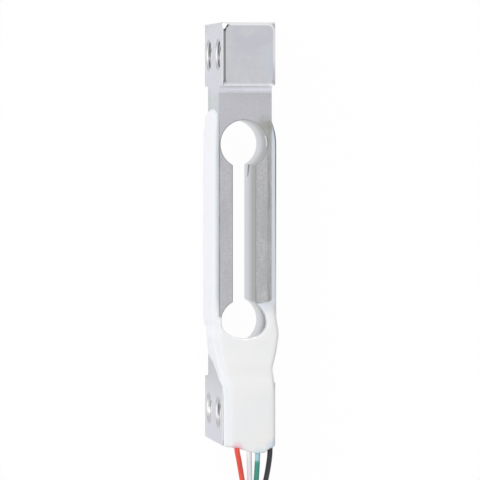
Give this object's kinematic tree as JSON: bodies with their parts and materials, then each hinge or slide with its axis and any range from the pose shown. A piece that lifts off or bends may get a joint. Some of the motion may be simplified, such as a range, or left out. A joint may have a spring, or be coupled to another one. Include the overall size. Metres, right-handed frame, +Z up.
{
  "type": "parallel beam load cell",
  "caption": "Small aluminium bending beam load cell with a dumb-bell window, strain gauges under a white silicone coat, tapped mounting holes and a tied hank of leads.",
  "frame": {"origin": "middle of the beam's length and thickness, on the narrow side face that it lies on", "axes": "+X across the beam's thin sense toward the right side face, which is the direction of the load; +Y along the beam toward the loaded end, away from the leads; +Z up through the beam's width, toward the narrow face on which the leads come out"},
  "size_m": [0.0101, 0.0774, 0.013],
  "materials": {
    "beam_aluminium": "fine milled, edges tumbled",
    "silicone": "smooth, slightly translucent white",
    "polyimide": "amber film",
    "foil": "etched foil",
    "enamelled_wire": "enamel on copper",
    "laminate": "glass laminate",
    "solder": "bright solder",
    "core_wire": "bare copper strands",
    "red_jacket": "satin wire jacket",
    "white_jacket": "satin wire jacket",
    "green_jacket": "satin wire jacket",
    "black_jacket": "satin wire jacket",
    "tinned_tip": "tinned strands",
    "mixed_leads": "four satin wire jackets, wound",
    "tie": "twist tie, matt"
  },
  "bodies": {
    "root": {"beam": "beam_aluminium", "gauge_film_1": "polyimide", "gauge_film_2": "polyimide", "gauge_film_3": "polyimide", "gauge_film_4": "polyimide", "gauge_grid_1": "foil", "gauge_grid_2": "foil", "gauge_grid_3": "foil", "gauge_grid_4": "foil", "gauge_wire_1_a": "enamelled_wire", "gauge_wire_1_b": "enamelled_wire", "gauge_wire_2_a": "enamelled_wire", "gauge_wire_2_b": "enamelled_wire", "gauge_wire_3_a": "enamelled_wire", "gauge_wire_3_b": "enamelled_wire", "gauge_wire_4_a": "enamelled_wire", "gauge_wire_4_b": "enamelled_wire", "terminal_strip_left": "laminate", "terminal_strip_right": "laminate", "solder_left_upper": "solder", "solder_left_middle": "solder", "solder_left_lower": "solder", "solder_right_upper": "solder", "solder_right_middle": "solder", "solder_right_lower": "solder", "lead_core_red": "core_wire", "lead_core_white": "core_wire", "lead_core_green": "core_wire", "lead_core_black": "core_wire", "link_wire_upper": "enamelled_wire", "link_wire_lower": "enamelled_wire", "silicone_coat": "silicone", "lead_red": "red_jacket", "lead_white": "white_jacket", "lead_green": "green_jacket", "lead_black": "black_jacket", "lead_tail_red": "red_jacket", "lead_tail_white": "white_jacket", "lead_tail_green": "green_jacket", "lead_tail_black": "black_jacket", "lead_tip_red": "tinned_tip", "lead_tip_white": "tinned_tip", "lead_tip_green": "tinned_tip", "lead_tip_black": "tinned_tip", "lead_hank": "mixed_leads", "hank_tie": "tie"}
  },
  "joints": []
}
